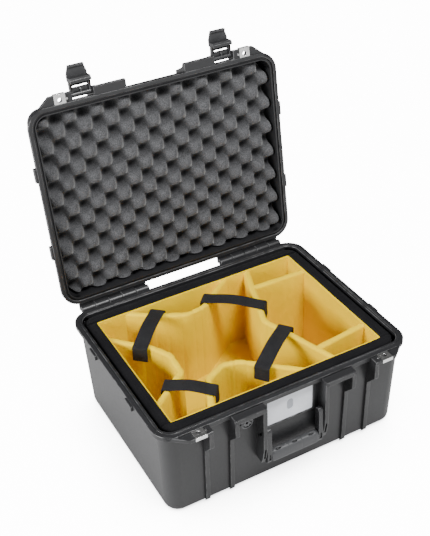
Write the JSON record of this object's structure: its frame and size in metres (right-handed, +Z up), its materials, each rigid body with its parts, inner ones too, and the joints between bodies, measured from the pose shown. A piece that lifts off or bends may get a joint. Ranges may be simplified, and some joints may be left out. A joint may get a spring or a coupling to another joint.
{
  "type": "drone carrying case",
  "caption": "Deep hard carrying case with hinged lid, latches, folding handle and a padded, divided yellow insert with straps that hold a small quadcopter.",
  "frame": {"origin": "centre of the base's flat bottom, on the surface that the case stands on", "axes": "+X to the right along the front, +Y to the hinges at the back, +Z up; the lid stands open on its stop"},
  "size_m": [0.497, 0.5199, 0.6243],
  "materials": {
    "shell_plastic": "moulded polypropylene, charcoal, fine spark texture",
    "lid_plastic": "moulded polypropylene, charcoal, fine spark texture",
    "latch_plastic": "moulded nylon, dark grey, satin",
    "lever_plastic": "moulded nylon, mid grey, satin",
    "handle_plastic": "moulded nylon, near black",
    "handle_rubber": "overmoulded rubber, dark grey",
    "seal_rubber": "black polymer gasket",
    "plate_steel": "bright stainless sheet",
    "pin_steel": "dark finished steel rod",
    "spring_steel": "black spring wire",
    "screw_steel": "small stainless screws",
    "valve_plastic": "moulded plastic, satin",
    "window_plastic": "frosted clear polycarbonate",
    "card_paper": "blank white card",
    "liner_fabric": "black loop-faced fabric over closed-cell foam",
    "divider_fabric": "yellow loop-faced fabric over closed-cell foam",
    "strap_webbing": "black woven webbing",
    "lid_foam_grey": "grey open-cell convoluted foam"
  },
  "bodies": {
    "base": {"base_shell": "shell_plastic", "liner_floor": "liner_fabric", "liner_front": "liner_fabric", "liner_back": "liner_fabric", "liner_left": "liner_fabric", "liner_right": "liner_fabric", "divider_left": "divider_fabric", "divider_front": "divider_fabric", "divider_back": "divider_fabric", "divider_right": "divider_fabric", "divider_battery": "divider_fabric", "divider_controller": "divider_fabric", "strap_back_left": "strap_webbing", "strap_back_right": "strap_webbing", "strap_front_right": "strap_webbing", "strap_front_left": "strap_webbing", "base_lock_plates": "plate_steel", "base_lock_screws": "screw_steel", "id_card": "card_paper", "card_window": "window_plastic", "valve_body": "valve_plastic", "valve_seal": "seal_rubber", "valve_nut": "valve_plastic", "hinge_pin_left": "pin_steel", "hinge_pin_right": "pin_steel", "handle_pin_left": "pin_steel", "handle_pin_right": "pin_steel"},
    "handle": {"handle_frame": "handle_plastic", "handle_grip": "handle_rubber"},
    "lid": {"lid_shell": "lid_plastic", "lid_seal": "seal_rubber", "lid_foam": "lid_foam_grey", "lid_lock_plates": "plate_steel", "lid_lock_screws": "screw_steel", "latch_pin_left": "pin_steel", "latch_pin_right": "pin_steel"},
    "latch_left": {"latch_frame_left": "latch_plastic", "lever_pin_left": "pin_steel", "lever_spring_left": "spring_steel"},
    "latch_right": {"latch_frame_right": "latch_plastic", "lever_pin_right": "pin_steel", "lever_spring_right": "spring_steel"},
    "lever_left": {"latch_lever_left": "lever_plastic"},
    "lever_right": {"latch_lever_right": "lever_plastic"}
  },
  "joints": [
    {"name": "lid_hinge", "type": "hinge", "parent": "base", "child": "lid", "pos_m": [0, 0.2001, 0.1849], "axis": [1, 0, 0], "range_deg": [0, 98.35]},
    {"name": "handle_swing", "type": "hinge", "parent": "base", "child": "handle", "pos_m": [0, -0.193, 0.121], "axis": [-1, 0, 0], "range_deg": [0, 100]},
    {"name": "latch_left_swing", "type": "hinge", "parent": "lid", "child": "latch_left", "pos_m": [-0.13775, 0.27402, 0.5749], "axis": [1, 0, 0], "range_deg": [0, 90]},
    {"name": "latch_left_lever", "type": "hinge", "parent": "latch_left", "child": "lever_left", "pos_m": [-0.13775, 0.27804, 0.592], "axis": [-1, 0, 0], "range_deg": [0, 18], "stiffness_Nm_per_rad": 0.08},
    {"name": "latch_right_swing", "type": "hinge", "parent": "lid", "child": "latch_right", "pos_m": [0.13775, 0.27402, 0.5749], "axis": [1, 0, 0], "range_deg": [0, 90]},
    {"name": "latch_right_lever", "type": "hinge", "parent": "latch_right", "child": "lever_right", "pos_m": [0.13775, 0.27804, 0.592], "axis": [-1, 0, 0], "range_deg": [0, 18], "stiffness_Nm_per_rad": 0.08}
  ]
}
